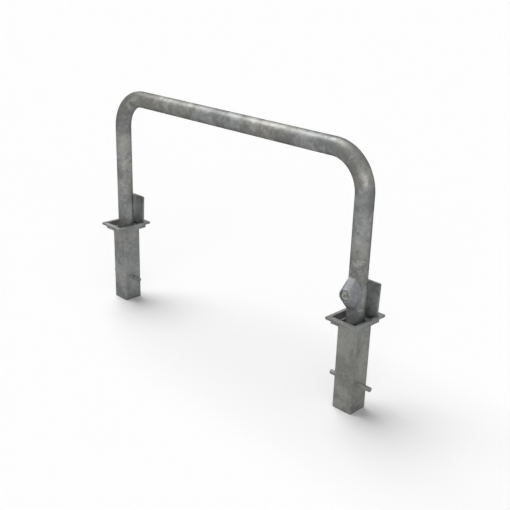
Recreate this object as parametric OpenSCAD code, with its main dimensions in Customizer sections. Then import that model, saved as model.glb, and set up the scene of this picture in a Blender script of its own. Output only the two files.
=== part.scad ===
// Removable hoop barrier: a bent tube hoop that stands in two ground sockets and locks in the right one.
// X runs along the hoop, -Y is the lock side, +Z is up. The origin is at the bottom of the sockets, midway.

/* [Hoop] */
// Outer diameter of the hoop tube
tube_d = 76.1; // [70:0.1:80]
// Wall of the hoop tube
tube_wall = 3.6; // [3:0.1:5]
// Distance between the centre lines of the legs
leg_spacing = 1500; // [800:10:2400]
// Height of the top rail's centre line above the ground
rail_height = 650; // [450:5:1100]
// Radius of the bends, at the tube's centre line
bend_radius = 158; // [120:1:240]

/* [Sockets] */
// Depth of a socket below the ground
socket_depth = 410; // [360:5:600]
// Wall of the square socket tube
socket_wall = 5; // [4:0.5:8]
// Space between a leg and the inner faces of its socket
leg_gap = 4; // [3:0.5:6]
// Outer corner radius of the square socket tube
socket_corner = 4; // [2:0.5:8]
// Diameter of the anchor bar through a socket
anchor_d = 20; // [14:0.5:24]
// Length of the anchor bar
anchor_length = 204; // [150:1:260]
// Height of the anchor bar's axis above the socket's bottom
anchor_height = 121; // [60:1:180]

/* [Recess and plate] */
// Width of the recess tray along the hoop
tray_w = 122; // [118:1:132]
// Length of the recess tray across the hoop
tray_l = 155; // [150:1:170]
// Depth of the tray's underside below the ground
tray_depth = 30; // [25:1:34]
// Wall of the recess tray
tray_wall = 5; // [4:0.5:7]
// Floor of the recess tray
tray_floor = 5; // [3:0.5:8]
// Width of the top plate along the hoop
plate_w = 146; // [142:1:180]
// Length of the top plate across the hoop
plate_l = 195; // [180:1:240]
// Thickness of the top plate
plate_t = 10; // [8:0.5:14]
// Corner radius of the top plate
plate_corner = 1.5; // [1:0.5:10]

/* [Lid] */
// Width of the ledge that the closed lid rests on
lid_ledge = 2.5; // [1.5:0.5:4]
// Space around the closed lid
lid_gap = 0.5; // [0.5:0.25:2]
// Angle that the open lid leans back past upright
lid_lean = 2; // [0:0.5:4]
// Corner radius at the lid's free end
lid_corner = 5; // [2:0.5:12]
// Distance from the tray's back wall to the hinge axis
hinge_setback = 7.5; // [7:0.5:12]
// Diameter of the hinge pin
hinge_pin_d = 5; // [4:0.5:6]
// Length of the pin held in the plate's closed side
hinge_pin_hold = 8; // [5:0.5:10]
// Space between the pin's other end and the plate's edge
hinge_pin_inset = 3; // [1:0.5:6]

/* [Lock housing] */
// Height of the lock's axis above the ground
lock_height = 107; // [100:1:140]
// Reach of the housing's nose in front of the tube
housing_reach = 41; // [38:0.5:46]
// Diameter of the housing's round nose
nose_d = 56; // [54:1:60]
// Width of the front at its top and bottom ends
tip_w = 30; // [24:1:40]
// Height of the housing's top above the lock's axis, where its front meets the tube
tip_rise = 63; // [58:1:72]
// Depth of the housing's foot below the lock's axis, where its front meets the tube
tip_drop = 68; // [62:1:76]
// Width of the housing's base on the tube
base_w = 71; // [66:1:74]
// Height of the housing's base on the tube
base_h = 158; // [150:1:170]
// Distance from the tube's axis to the base's back edge, towards the front
base_back = 13; // [10:1:16]
// Wall of the housing
housing_wall = 5; // [4:0.5:6]
// Radius of the edge round the housing's nose
housing_edge = 4; // [2:0.5:5]
// Diameter of the round recess in the nose
recess_d = 44; // [40:1:45]
// Depth of the round recess in the nose
recess_depth = 8; // [6:0.5:10]

/* [Lock] */
// Diameter of the lock barrel
barrel_d = 26; // [24:0.5:28]
// Diameter of the barrel's flange on the recess floor
barrel_flange_d = 34; // [31:0.5:38]
// Thickness of the barrel's flange
barrel_flange_t = 2.5; // [1.5:0.5:4]
// Diameter of the turning plug
plug_d = 18; // [16:0.5:19]
// Diameter of the plug's head
plug_head_d = 21; // [20:0.5:22]
// Thickness of the plug's head
plug_head_t = 3; // [2:0.5:5]
// Width of the key slot
key_slot_w = 3; // [2:0.5:4]
// Height of the key slot
key_slot_h = 11; // [8:0.5:13]
// Depth of the key slot
key_slot_depth = 14; // [8:1:20]
// Width of the square tail that carries the cam
tail_w = 6; // [5:0.5:7]
// Distance across the flats of the lock nut
nut_across = 36; // [32:1:38]
// Thickness of the lock nut
nut_t = 7; // [5:0.5:8]
// Outer diameter of the washer under the nut
washer_d = 40; // [36:1:42]
// Thickness of the washer
washer_t = 1.5; // [1:0.5:2.5]
// Diameter of the cam
cam_d = 22; // [20:0.5:26]
// Thickness of the cam
cam_t = 5; // [4:0.5:6]
// Distance of the crank pin from the lock's axis
crank_r = 6; // [5.7:0.1:6.4]
// Diameter of the crank pin
crank_pin_d = 4.5; // [4:0.1:4.8]
// Diameter of the cam screw's thread
cam_screw_d = 4; // [3:0.5:4.5]
// Diameter of the cam screw's head
cam_screw_head_d = 6.4; // [5.5:0.1:6.6]
// Height of the cam screw's head
cam_screw_head_t = 2.6; // [2:0.1:3]
// Length of the cam screw below its head
cam_screw_length = 12; // [9:1:18]

/* [Locking bar] */
// Thickness of the locking bar
bar_t = 6; // [5:0.5:8]
// Width of the locking bar's arms
bar_w = 16; // [13:0.5:18]
// Distance of the locking bar's mid plane in front of the tube's axis
bar_offset = 15; // [14:0.5:16]
// Diameter of the bar's boss round its pivot
bar_boss_d = 22; // [18:1:26]
// Height of the bar's pivot above the ground
pivot_height = 45; // [42:1:50]
// Diameter of the pivot pin
pivot_d = 8; // [6:0.5:10]
// Outer diameter of the spacers on the pivot pin
spacer_d = 14; // [12.5:0.5:16]
// Depth of the hook's middle below the ground
hook_drop = 50; // [49:1:56]
// Height of the hook
hook_h = 14; // [10:1:16]
// How far the hook's tip lies inside the tube's surface when unlocked
hook_inset = 5.6; // [5:0.2:7]
// Space round the hook in its slots, along the slot's width
hook_side_gap = 2; // [1.5:0.5:3]
// Space above and below the hook in its slots
hook_end_gap = 5; // [4.5:0.5:6]
// How far the keeper box stands out from its socket
keeper_reach = 12; // [10:1:16]
// Wall of the keeper box
keeper_wall = 3; // [2:0.5:4]

/* [Hidden] */
$fn = 96;

// Clearances: a pin that turns, a part that is set in a hole, a part that rests on another, a pin in the fork
run_gap = 0.05;
set_gap = 0.1;
seat_gap = 0.3;
fork_gap = 0.4;
// Extra length that a cut runs past the faces that it goes through
cut = 1;
// Small roundings: the inner corners of the socket and of the leg's hole in the tray, the inner edge of the
// housing's nose and the tips of its front
bore_corner = 1;
cavity_edge = 2;
tip_r = 1;
// The housing's base: 1 makes it an oval and less a fuller one, then the angle between its points and its rim
base_power = 0.85;
base_step = 7.5;
base_rim = 1;

// Hoop
tube_r = tube_d / 2;
tube_bore_r = tube_r - tube_wall;
rail_z = socket_depth + rail_height;
leg_bottom = anchor_height + anchor_d / 2 + seat_gap;

// Socket and plate, across their openings
socket_bore = tube_d + 2 * leg_gap;
socket_w = socket_bore + 2 * socket_wall;
opening_half = tray_w / 2 - tray_wall + lid_ledge;
opening_front = tray_l / 2 - tray_wall + lid_ledge;

// Lid: its pin runs in the middle of the plate's thickness, and its back meets the plate when it is open
lid_t = plate_t - seat_gap;
lid_half = opening_half - lid_gap;
hinge_y = tray_l / 2 - tray_wall - hinge_setback;
hinge_z = -plate_t / 2;
lid_length = hinge_y + opening_front - lid_gap;
opening_back = hinge_y + lid_t / 2 / cos(lid_lean) - hinge_z * tan(lid_lean) + seat_gap;
pin_near = -plate_w / 2 + hinge_pin_inset;
pin_far = opening_half + hinge_pin_hold;

// Lock, from its face towards the tube's axis: the space round it in the tube's window, its reach into the
// tube's bore, and how far its face lies behind the nose
window_gap = 3;
barrel_overhang = 3.5;
face_step = 0.5;
nose_y = -tube_r - housing_reach;
recess_y = nose_y + recess_depth;
floor_y = recess_y + housing_wall;
window_r = barrel_d / 2 + window_gap;
barrel_end = -tube_bore_r + barrel_overhang;
plug_end = barrel_end + seat_gap;
cam_end = plug_end + cam_t;
barrel_face = nose_y + face_step;
plug_face = nose_y + face_step / 2;

// Locking bar: its upper arm reaches the crank pin, its lower arm the hook. The fork is a little deeper than
// the pin's travel, and twice that longer
fork_floor = 1;
bar_y = -bar_offset;
upper_arm = lock_height - pivot_height;
lower_arm = pivot_height + hook_drop;
bar_tilt = atan(crank_r * sin(45) / (upper_arm - crank_r * cos(45)));
fork_start = upper_arm - crank_r - crank_pin_d / 2 - fork_floor;
fork_end = upper_arm + crank_pin_d / 2 + 2 * fork_floor;
hook_tip = tube_r - hook_inset + lower_arm * sin(bar_tilt);
hook_slot_w = bar_t + 2 * hook_side_gap;
hook_slot_h = hook_h + 2 * hook_end_gap;

// Places its children at a leg, with z at the ground; side is -1 for the left leg and 1 for the right one
module at_leg(side) translate([side * leg_spacing / 2, 0, socket_depth]) children();

// Places its children on the lock's axis
module at_lock() at_leg(1) translate([0, 0, lock_height]) children();

// Places its children on the locking bar's pivot axis
module at_pivot() at_leg(1) translate([0, 0, pivot_height]) children();

// A round rod along Y
module y_rod(d, y0, y1) translate([0, y0, 0]) rotate([-90, 0, 0]) cylinder(d = d, h = y1 - y0);

// A round rod along X
module x_rod(d, x0, x1) translate([x0, 0, 0]) rotate([0, 90, 0]) cylinder(d = d, h = x1 - x0);

// An outline in X and Z, given thickness along Y
module xz_plate(y0, y1) translate([0, y1, 0]) rotate([90, 0, 0]) linear_extrude(height = y1 - y0) children();

// A rectangle with round corners
module round_rect(w, l, r) {
    square([w - 2 * r, l], center = true);
    square([w, l - 2 * r], center = true);
    for (x = [-1, 1], y = [-1, 1]) translate([x * (w / 2 - r), y * (l / 2 - r)]) circle(r = r);
}

// The hoop's path as a solid of diameter d, with its legs down to foot_z
module hoop_form(d, foot_z) {
    leg_top = rail_z - bend_radius;
    bend_x = leg_spacing / 2 - bend_radius;
    for (side = [-1, 1]) {
        translate([side * leg_spacing / 2, 0, foot_z]) cylinder(d = d, h = leg_top - foot_z);
        translate([side * bend_x, 0, leg_top]) rotate([90, side < 0 ? -90 : 0, 0])
            rotate_extrude(angle = 90) translate([bend_radius, 0]) circle(d = d);
    }
    translate([0, 0, rail_z]) x_rod(d, -bend_x, bend_x);
}

module hoop_tube() {
    color([0.56, 0.57, 0.57]) difference() {
        hoop_form(tube_d, leg_bottom);
        hoop_form(tube_d - 2 * tube_wall, leg_bottom - cut);
        at_lock() y_rod(2 * window_r, -tube_r - cut, -tube_r / 2);
        at_pivot() y_rod(pivot_d + 2 * set_gap, -tube_r - cut, tube_r + cut);
        at_leg(1) translate([-tube_r - cut, bar_y - hook_slot_w / 2, -hook_drop - hook_slot_h / 2])
            cube([tube_r / 2, hook_slot_w, hook_slot_h]);
    }
}

// The point at angle a of the outline of the housing's base, a full oval of width w and height h
function base_point(a, w, h) = [
    w / 2 * sign(cos(a)) * pow(abs(cos(a)), base_power),
    h / 2 * sign(sin(a)) * pow(abs(sin(a)), base_power)
];

// The housing as a solid with every face moved in by inset: a skin over its nose, its four tips and its base
module housing_form(inset, edge) {
    hull() {
        translate([0, nose_y + inset + edge, 0]) rotate([90, 0, 0]) rotate_extrude($fn = 72)
            translate([nose_d / 2 - inset - edge, 0]) circle(r = edge, $fn = 16);
        for (x = [-1, 1], z = [inset - tip_drop, tip_rise - inset])
            translate([x * (tip_w / 2 - inset), inset - tube_r, z]) sphere(r = tip_r, $fn = 16);
        xz_plate(-base_back - base_rim, -base_back) polygon([
            for (a = [0:base_step:360 - base_step]) base_point(a, base_w - 2 * inset, base_h - 2 * inset)
        ]);
    }
}

module lock_housing() {
    color([0.56, 0.57, 0.57]) at_lock() difference() {
        housing_form(0, housing_edge);
        difference() {
            housing_form(housing_wall, cavity_edge);
            y_rod(recess_d + 2 * housing_wall, nose_y, floor_y);
        }
        y_rod(recess_d, nose_y - cut, recess_y);
        y_rod(barrel_d + 2 * set_gap, nose_y - cut, -tube_bore_r);
        translate([0, 0, -base_h]) cylinder(d = tube_d, h = 2 * base_h, $fn = 192);
    }
}

module lock_barrel() {
    color([0.62, 0.62, 0.6]) at_lock() difference() {
        union() {
            y_rod(barrel_d, barrel_face, barrel_end);
            y_rod(barrel_flange_d, recess_y - barrel_flange_t, recess_y);
        }
        y_rod(plug_d + 2 * run_gap, barrel_face - cut, barrel_end + cut);
        y_rod(plug_head_d + 2 * seat_gap, barrel_face - cut, plug_face + plug_head_t + seat_gap);
    }
}

module lock_washer() {
    color([0.65, 0.65, 0.64]) at_lock() difference() {
        y_rod(washer_d, floor_y, floor_y + washer_t);
        y_rod(barrel_d + 2 * set_gap, floor_y - cut, floor_y + washer_t + cut);
    }
}

module lock_nut() {
    color([0.6, 0.6, 0.58]) at_lock() difference() {
        xz_plate(floor_y + washer_t, floor_y + washer_t + nut_t) circle(d = nut_across / cos(30), $fn = 6);
        y_rod(barrel_d + 2 * set_gap, floor_y, floor_y + washer_t + nut_t + cut);
    }
}

// Turns what moves with the plug to its unlocked place, with the crank pin down and to the left
module unlocked() rotate([0, 45, 0]) children();

module lock_plug() {
    color([0.72, 0.6, 0.3]) at_lock() unlocked() difference() {
        union() {
            y_rod(plug_d, plug_face, plug_end);
            y_rod(plug_head_d, plug_face, plug_face + plug_head_t);
            translate([-tail_w / 2, plug_end - cut, -tail_w / 2]) cube([tail_w, cam_t + cut, tail_w]);
        }
        translate([-key_slot_w / 2, plug_face - cut, -key_slot_h / 2])
            cube([key_slot_w, key_slot_depth + cut, key_slot_h]);
        y_rod(cam_screw_d + 2 * set_gap, cam_end - cam_screw_length - seat_gap, cam_end + cut);
    }
}

module lock_cam() {
    color([0.6, 0.6, 0.62]) at_lock() unlocked() {
        difference() {
            y_rod(cam_d, plug_end, cam_end);
            translate([-tail_w / 2 - set_gap, plug_end - cut, -tail_w / 2 - set_gap])
                cube([tail_w + 2 * set_gap, cam_t + 2 * cut, tail_w + 2 * set_gap]);
        }
        translate([0, 0, -crank_r]) y_rod(crank_pin_d, cam_end, bar_y + bar_t / 2 + cut);
    }
}

module cam_screw() {
    color([0.7, 0.7, 0.7]) at_lock() unlocked() {
        y_rod(cam_screw_d, cam_end - cam_screw_length, cam_end);
        difference() {
            y_rod(cam_screw_head_d, cam_end, cam_end + cam_screw_head_t);
            xz_plate(cam_end + cam_screw_head_t / 2, cam_end + cam_screw_head_t + cut)
                circle(d = cam_screw_head_d / 2, $fn = 6);
        }
    }
}

module locking_bar() {
    color([0.5, 0.51, 0.52]) at_pivot() rotate([0, -bar_tilt, 0])
        xz_plate(bar_y - bar_t / 2, bar_y + bar_t / 2) difference() {
            union() {
                circle(d = bar_boss_d);
                translate([-bar_w / 2, -lower_arm - hook_h / 2])
                    square([bar_w, lower_arm + hook_h / 2 + fork_end]);
                translate([-hook_tip, -lower_arm - hook_h / 2]) square([hook_tip, hook_h]);
            }
            circle(d = pivot_d + 2 * run_gap);
            translate([-crank_pin_d / 2 - fork_gap, fork_start])
                square([crank_pin_d + 2 * fork_gap, fork_end - fork_start + cut]);
        }
}

module bar_pivot() {
    color([0.66, 0.66, 0.66]) at_pivot() y_rod(pivot_d, seat_gap - tube_r, tube_r - seat_gap);
}

module pivot_spacers() {
    reach = sqrt(pow(tube_bore_r, 2) - pow(spacer_d / 2, 2)) - seat_gap;
    color([0.6, 0.61, 0.6]) at_pivot() difference() {
        union() {
            y_rod(spacer_d, -reach, bar_y - bar_t / 2 - seat_gap);
            y_rod(spacer_d, bar_y + bar_t / 2 + seat_gap, reach);
        }
        y_rod(pivot_d + 2 * set_gap, -tube_r, tube_r);
    }
}

// The space for the hook in the right socket's wall and in the keeper box, with a margin round it
module hook_space(x0, x1, margin) {
    translate([x0, bar_y - hook_slot_w / 2 - margin, -hook_drop - hook_slot_h / 2 - margin])
        cube([x1 - x0, hook_slot_w + 2 * margin, hook_slot_h + 2 * margin]);
}

module keeper_box() {
    color([0.54, 0.55, 0.55]) at_leg(1) difference() {
        hook_space(-socket_w / 2 - keeper_reach, -socket_w / 2, keeper_wall);
        hook_space(-socket_w / 2 - keeper_reach + keeper_wall, -socket_w / 2 + cut, 0);
    }
}

module socket_tube(side) {
    color([0.55, 0.56, 0.56]) difference() {
        translate([side * leg_spacing / 2, 0, 0])
            linear_extrude(height = socket_depth - tray_depth) difference() {
                round_rect(socket_w, socket_w, socket_corner);
                round_rect(socket_bore, socket_bore, bore_corner);
            }
        translate([side * leg_spacing / 2, 0, anchor_height])
            x_rod(anchor_d + 2 * set_gap, -socket_w, socket_w);
        if (side > 0) at_leg(side) hook_space(-socket_w / 2 - cut, -socket_bore / 2 + cut, 0);
    }
}

module recess_tray(side) {
    color([0.53, 0.54, 0.54]) at_leg(side) difference() {
        translate([-tray_w / 2, -tray_l / 2, -tray_depth]) cube([tray_w, tray_l, tray_depth - plate_t]);
        translate([tray_wall - tray_w / 2, tray_wall - tray_l / 2, tray_floor - tray_depth])
            cube([tray_w - 2 * tray_wall, tray_l - 2 * tray_wall, tray_depth]);
        translate([0, 0, -tray_depth - cut]) linear_extrude(height = tray_floor + 2 * cut)
            round_rect(socket_bore, socket_bore, bore_corner);
    }
}

module top_plate(side) {
    color([0.58, 0.59, 0.58]) at_leg(side) difference() {
        translate([0, 0, -plate_t])
            linear_extrude(height = plate_t) round_rect(plate_w, plate_l, plate_corner);
        translate([-opening_half, -opening_front, -plate_t - cut])
            cube([2 * opening_half, opening_front + opening_back, plate_t + 2 * cut]);
        translate([0, hinge_y, hinge_z])
            x_rod(hinge_pin_d + 2 * run_gap, -plate_w / 2 - cut, pin_far + seat_gap);
    }
}

module anchor_bar(side) {
    color([0.5, 0.51, 0.51]) translate([side * leg_spacing / 2, 0, anchor_height])
        x_rod(anchor_d, -anchor_length / 2, anchor_length / 2);
}

module hinge_pin(side) {
    color([0.62, 0.62, 0.62]) at_leg(side) translate([0, hinge_y, hinge_z])
        x_rod(hinge_pin_d, pin_near, pin_far);
}

// The lid lies along -Y from its hinge and is then swung open
module lid(side) {
    color([0.42, 0.43, 0.43]) at_leg(side) translate([0, hinge_y, hinge_z]) rotate([-90 - lid_lean, 0, 0])
        difference() {
            union() {
                x_rod(lid_t, -lid_half, lid_half);
                translate([0, 0, -lid_t / 2]) linear_extrude(height = lid_t) {
                    translate([-lid_half, lid_corner - lid_length])
                        square([2 * lid_half, lid_length - lid_corner]);
                    translate([lid_corner - lid_half, -lid_length])
                        square([2 * (lid_half - lid_corner), 2 * lid_corner]);
                    for (x = [-1, 1]) translate([x * (lid_half - lid_corner), lid_corner - lid_length])
                        circle(r = lid_corner);
                }
            }
            x_rod(hinge_pin_d + 2 * run_gap, -lid_half - cut, lid_half + cut);
        }
}

hoop_tube();
lock_housing();
lock_barrel();
lock_washer();
lock_nut();
lock_plug();
lock_cam();
cam_screw();
locking_bar();
bar_pivot();
pivot_spacers();
keeper_box();
socket_tube(-1);  // left_socket_tube
recess_tray(-1);  // left_recess_tray
top_plate(-1);  // left_top_plate
anchor_bar(-1);  // left_anchor_bar
hinge_pin(-1);  // left_hinge_pin
lid(-1);  // left_lid
socket_tube(1);  // right_socket_tube
recess_tray(1);  // right_recess_tray
top_plate(1);  // right_top_plate
anchor_bar(1);  // right_anchor_bar
hinge_pin(1);  // right_hinge_pin
lid(1);  // right_lid
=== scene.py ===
"""The looks of a removable hoop barrier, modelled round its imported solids.

All sizes are metres. X runs along the hoop, the lock faces -Y, and the sockets' bottoms stand at z = 0.
"""

import logging
import random
from abc import ABC, abstractmethod
from dataclasses import dataclass
from enum import Enum
from math import copysign, cos, hypot, pi, radians, sin
from typing import Callable, Sequence

import bmesh
import bpy
from bpy.types import Material, Node, NodeSocket, Object, World
from mathutils import Matrix, Vector


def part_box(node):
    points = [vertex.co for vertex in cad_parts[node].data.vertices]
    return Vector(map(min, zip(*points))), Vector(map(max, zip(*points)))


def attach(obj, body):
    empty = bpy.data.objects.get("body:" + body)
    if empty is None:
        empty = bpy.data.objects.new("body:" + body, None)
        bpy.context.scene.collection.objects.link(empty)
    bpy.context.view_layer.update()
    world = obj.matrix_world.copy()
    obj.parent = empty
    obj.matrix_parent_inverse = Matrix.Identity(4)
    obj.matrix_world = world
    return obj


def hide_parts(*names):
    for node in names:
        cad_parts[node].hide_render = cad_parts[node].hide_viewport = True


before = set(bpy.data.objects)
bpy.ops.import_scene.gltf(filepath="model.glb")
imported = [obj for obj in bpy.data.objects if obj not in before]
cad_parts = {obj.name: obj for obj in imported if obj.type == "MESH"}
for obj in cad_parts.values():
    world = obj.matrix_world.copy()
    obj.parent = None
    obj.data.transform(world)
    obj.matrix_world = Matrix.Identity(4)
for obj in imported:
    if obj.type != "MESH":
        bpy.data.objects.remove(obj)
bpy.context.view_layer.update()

logging.basicConfig(level=logging.INFO, format="%(message)s")
log = logging.getLogger("barrier")

Colour = tuple[float, float, float]
Place = tuple[float, float, float]
Pair = tuple[float, float]
Value = NodeSocket | float | tuple[float, ...]
EdgeTest = Callable[[Vector, Vector], bool]

# Places and sizes that several sub-assemblies share
LEG_X = 0.75
TUBE_RADIUS = 0.03805
LOCK_Z = 0.517
HINGE_Y = 0.065
HINGE_Z = 0.405
PIN_HOLE_RADIUS = 0.00255
# Y and z of the hook slot's lowest and highest corners
HOOK_SLOT_LOW = (-0.020, 0.348)
HOOK_SLOT_HIGH = (-0.010, 0.372)

# How far a cutting shape runs past the face that it goes through
OVERCUT = 0.002
# Points closer than this count as one
HAIR = 0.00001
# The Mix node's sockets for colours: share, first and second colour, and result
MIX_SHARE, MIX_FIRST, MIX_SECOND, MIX_RESULT = 0, 6, 7, 2


class Side(Enum):
    """The two legs of the hoop. The lock is on the right one."""

    LEFT = -1
    RIGHT = 1

    @property
    def x(self) -> float:
        """X of the leg's upright axis."""
        return self.value * LEG_X

    def named(self, part: str) -> str:
        """Put the side's word before a part's name."""
        return f"{self.name.lower()}_{part}"


class Slot(Enum):
    """The material slots of the record."""

    HOOP = "galvanised_hoop"
    SOCKET = "galvanised_socket"
    LID = "galvanised_lid"
    FIXING = "plated_fixing"
    LOCK = "lock_metal"


class Joining(Enum):
    """What a second shape does to a piece."""

    ADD = "UNION"
    CUT = "DIFFERENCE"


class Maths(Enum):
    """Ways to join two values in a material."""

    ADD = "ADD"
    MULTIPLY = "MULTIPLY"
    LARGER = "MAXIMUM"


class Mixing(Enum):
    """Ways to mix two colours in a material."""

    PLAIN = "MIX"
    MULTIPLY = "MULTIPLY"
    OVERLAY = "OVERLAY"


# Modelling by hand


def put_down() -> None:
    """Leave edit mode and deselect everything, so that an operator acts on its own piece alone."""
    if bpy.context.object and bpy.context.object.mode != "OBJECT":
        bpy.ops.object.mode_set(mode="OBJECT")
    bpy.ops.object.select_all(action="DESELECT")


def pick_up(piece: Object) -> None:
    """Make a piece the only selected object, and the active one.

    Args:
        piece: The piece.
    """
    put_down()
    piece.select_set(True)
    bpy.context.view_layer.objects.active = piece


def open_up(piece: Object) -> None:
    """Enter edit mode with all of a piece selected.

    Args:
        piece: The piece.
    """
    pick_up(piece)
    bpy.ops.object.mode_set(mode="EDIT")
    bpy.ops.mesh.select_all(action="SELECT")


def settle(piece: Object, name: str) -> Object:
    """Name a piece and put its place, turn and scale into its mesh.

    Args:
        piece: The object to settle.
        name: Its new name.

    Returns:
        The same object, at the origin.
    """
    pick_up(piece)
    bpy.ops.object.transform_apply(location=True, rotation=True, scale=True)
    piece.name = name
    piece.data.name = name
    return piece


def block(name: str, low: Sequence[float], high: Sequence[float]) -> Object:
    """Add a rectangular block between two corners.

    Args:
        name: Name of the block.
        low: Its lowest corner.
        high: Its highest corner.

    Returns:
        The block.
    """
    low, high = Vector(low), Vector(high)
    put_down()
    bpy.ops.mesh.primitive_cube_add(size=1, location=(low + high) / 2)
    piece = bpy.context.object
    piece.scale = high - low
    return settle(piece, name)


def rod(name: str, radius: float, start: Sequence[float], end: Sequence[float], sides: int = 64) -> Object:
    """Add a round rod between two points.

    Args:
        name: Name of the rod.
        radius: Its radius.
        start: Middle of one end.
        end: Middle of the other end.
        sides: Number of its sides.

    Returns:
        The rod.
    """
    start, end = Vector(start), Vector(end)
    put_down()
    bpy.ops.mesh.primitive_cylinder_add(
        vertices=sides, radius=radius, depth=(end - start).length, location=(start + end) / 2
    )
    piece = bpy.context.object
    piece.rotation_euler = (end - start).to_track_quat("Z", "Y").to_euler()
    return settle(piece, name)


def lock_rod(name: str, radius: float, start: float, end: float) -> Object:
    """Add a round rod on the lock's axis, from one y to another."""
    return rod(name, radius, (LEG_X, start, LOCK_Z), (LEG_X, end, LOCK_Z), sides=96)


def hook_slot(start: float, end: float) -> Object:
    """Add the block that cuts the hook's slot from one x to another."""
    return block("hook_slot", (start, *HOOK_SLOT_LOW), (end, *HOOK_SLOT_HIGH))


def apply_step(piece: Object, kind: str, **settings: object) -> None:
    """Put a modifier on a piece, set it and apply it.

    Args:
        piece: The piece to change.
        kind: Type of the modifier.
        settings: The modifier's settings.
    """
    pick_up(piece)
    step = piece.modifiers.new(kind.lower(), kind)
    for name, value in settings.items():
        setattr(step, name, value)
    bpy.ops.object.modifier_apply(modifier=step.name)


def combine(piece: Object, joining: Joining, *tools: Object) -> None:
    """Add shapes to a piece or cut them out of it, and clear the shapes away.

    Args:
        piece: The piece that stays.
        joining: What the shapes do to it.
        tools: The shapes, which are used up.
    """
    for tool in tools:
        apply_step(piece, "BOOLEAN", operation=joining.value, solver="EXACT", object=tool)
        bpy.data.objects.remove(tool)


def round_corners(piece: Object, radius: float, wanted: EdgeTest, segments: int = 6) -> None:
    """Round the wanted edges of a piece.

    Args:
        piece: The piece to edit.
        radius: Radius of the rounding.
        wanted: Says of an edge's two ends whether the edge is rounded.
        segments: Steps of the rounding.
    """
    open_up(piece)
    bpy.ops.mesh.select_mode(type="EDGE")
    bpy.ops.mesh.select_all(action="DESELECT")
    mesh = bmesh.from_edit_mesh(piece.data)
    for edge in mesh.edges:
        edge.select = wanted(edge.verts[0].co, edge.verts[1].co)
    bmesh.update_edit_mesh(piece.data)
    bpy.ops.mesh.bevel(offset=radius, segments=segments, affect="EDGES")
    put_down()


def ease_edges(piece: Object, width: float, segments: int = 3) -> None:
    """Break every sharp edge of a piece.

    Args:
        piece: The piece to finish.
        width: Width of the eased edge.
        segments: Steps across it.
    """
    flat, sharp = radians(0.5), radians(40)
    open_up(piece)
    bpy.ops.mesh.remove_doubles(threshold=HAIR)
    bpy.ops.mesh.dissolve_limited(angle_limit=flat)
    put_down()
    shape = {"width": width, "segments": segments, "miter_outer": "MITER_ARC"}
    apply_step(piece, "BEVEL", limit_method="ANGLE", angle_limit=sharp, **shape)
    smooth(piece)


def smooth(piece: Object, angle: float = 32) -> None:
    """Shade a piece smooth over every edge flatter than an angle in degrees."""
    pick_up(piece)
    bpy.ops.object.shade_smooth_by_angle(angle=radians(angle))


def upright(first: Vector, second: Vector) -> bool:
    """Say whether an edge runs along Z."""
    return abs(first.x - second.x) < HAIR and abs(first.y - second.y) < HAIR


@dataclass(frozen=True)
class WeldBead:
    """A closed weld bead, with the ripples and the slight unevenness that a weld leaves.

    The spacing of its points is in radii, its ripples are shares of the radius, and each point's swelling
    keeps most of the one before it.
    """

    name: str
    radius: float
    seed: int
    spacing: float = 0.45
    ripple: float = 0.09
    ripple_points: int = 4
    kept_swell: float = 0.9
    new_swell: float = 0.1
    swell_share: float = 0.5
    bevel_steps: int = 3
    smooth_angle: float = 60

    def lay(self, path: Sequence[Vector]) -> Object:
        """Lay the bead along a path.

        Args:
            path: Corners of the closed path.

        Returns:
            The bead as a mesh.
        """
        points = self.fill_in(path)
        curve = bpy.data.curves.new(self.name, "CURVE")
        curve.dimensions = "3D"
        curve.bevel_depth = self.radius
        curve.bevel_resolution = self.bevel_steps
        spline = curve.splines.new("POLY")
        spline.points.add(len(points) - 1)
        spline.use_cyclic_u = True
        chance = random.Random(self.seed)
        swell = 0.0
        for i, (spot, place) in enumerate(zip(spline.points, points)):
            swell = self.kept_swell * swell + self.new_swell * chance.uniform(-1, 1)
            wave = sin(i * 2 * pi / self.ripple_points)
            spot.co = (*place, 1)
            spot.radius = 1 + self.ripple * wave + self.swell_share * swell
        bead = bpy.data.objects.new(self.name, curve)
        bpy.context.scene.collection.objects.link(bead)
        pick_up(bead)
        bpy.ops.object.convert(target="MESH")
        bead = bpy.context.object
        smooth(bead, self.smooth_angle)
        return bead

    def fill_in(self, path: Sequence[Vector]) -> list[Vector]:
        """Add evenly spaced points between a closed path's corners.

        Args:
            path: Corners of the closed path.

        Returns:
            The corners with the points between them.
        """
        points: list[Vector] = []
        for start, end in zip(path, [*path[1:], path[0]]):
            steps = max(1, round((end - start).length / (self.radius * self.spacing)))
            points += [start.lerp(end, i / steps) for i in range(steps)]
        return points


def rectangle(
    centre: Sequence[float], width: float, length: float, corner: float, steps: int = 4
) -> list[Vector]:
    """Give a level rectangle's outline, with rounded corners.

    Args:
        centre: Its middle.
        width: Its size along X.
        length: Its size along Y.
        corner: Radius of its corners.
        steps: Steps of each corner.

    Returns:
        The outline's points in order.
    """
    points = []
    for quarter, (side_x, side_y) in enumerate(((1, 1), (-1, 1), (-1, -1), (1, -1))):
        turn = radians(90 * quarter)
        for step in range(steps + 1):
            angle = turn + radians(90) * step / steps
            across = side_x * (width / 2 - corner) + corner * cos(angle)
            along = side_y * (length / 2 - corner) + corner * sin(angle)
            points.append(Vector(centre) + Vector((across, along, 0)))
    return points


def ring(centre: Sequence[float], radius: float, steps: int = 32) -> list[Vector]:
    """Give the points of a circle round X.

    Args:
        centre: Its middle.
        radius: Its radius.
        steps: Number of points.

    Returns:
        The points in order.
    """
    points = []
    for step in range(steps):
        angle = 2 * pi * step / steps
        points.append(Vector(centre) + Vector((0, radius * cos(angle), radius * sin(angle))))
    return points


# Finishes


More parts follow.
